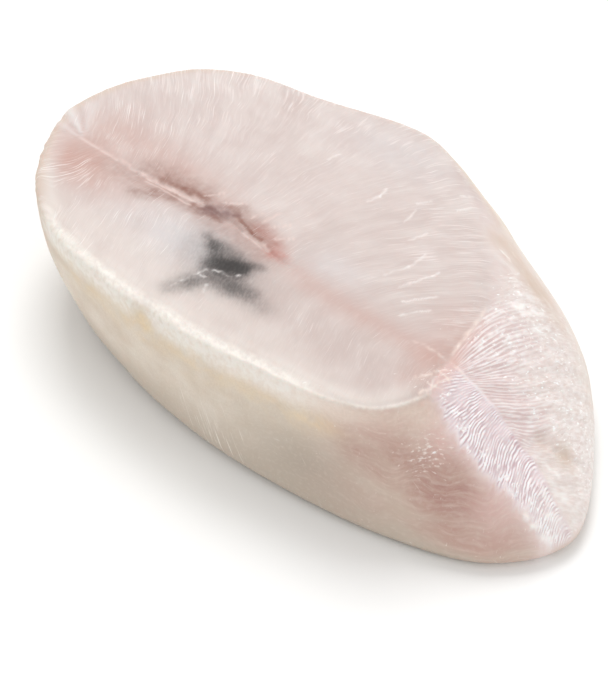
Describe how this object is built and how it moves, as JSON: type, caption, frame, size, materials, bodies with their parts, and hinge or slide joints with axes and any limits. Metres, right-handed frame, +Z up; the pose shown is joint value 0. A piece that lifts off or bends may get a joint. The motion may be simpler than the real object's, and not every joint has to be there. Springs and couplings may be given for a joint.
{
  "type": "hake loin portion",
  "caption": "Raw skinless hake loin portion: a thick oval slice with a flat cut face, a smooth rounded wall and a ridged end that slopes to a blunt tip.",
  "frame": {"origin": "on the resting surface, under the middle of the piece's outer box", "axes": "+X along the piece towards its sloping tip, +Z up through the cut face, -Y towards the smooth front wall"},
  "size_m": [0.1106, 0.0622, 0.0242],
  "materials": {
    "flesh": "moist raw fish flesh, pale pink white"
  },
  "bodies": {
    "root": {"hake_loin": "flesh"}
  },
  "joints": []
}
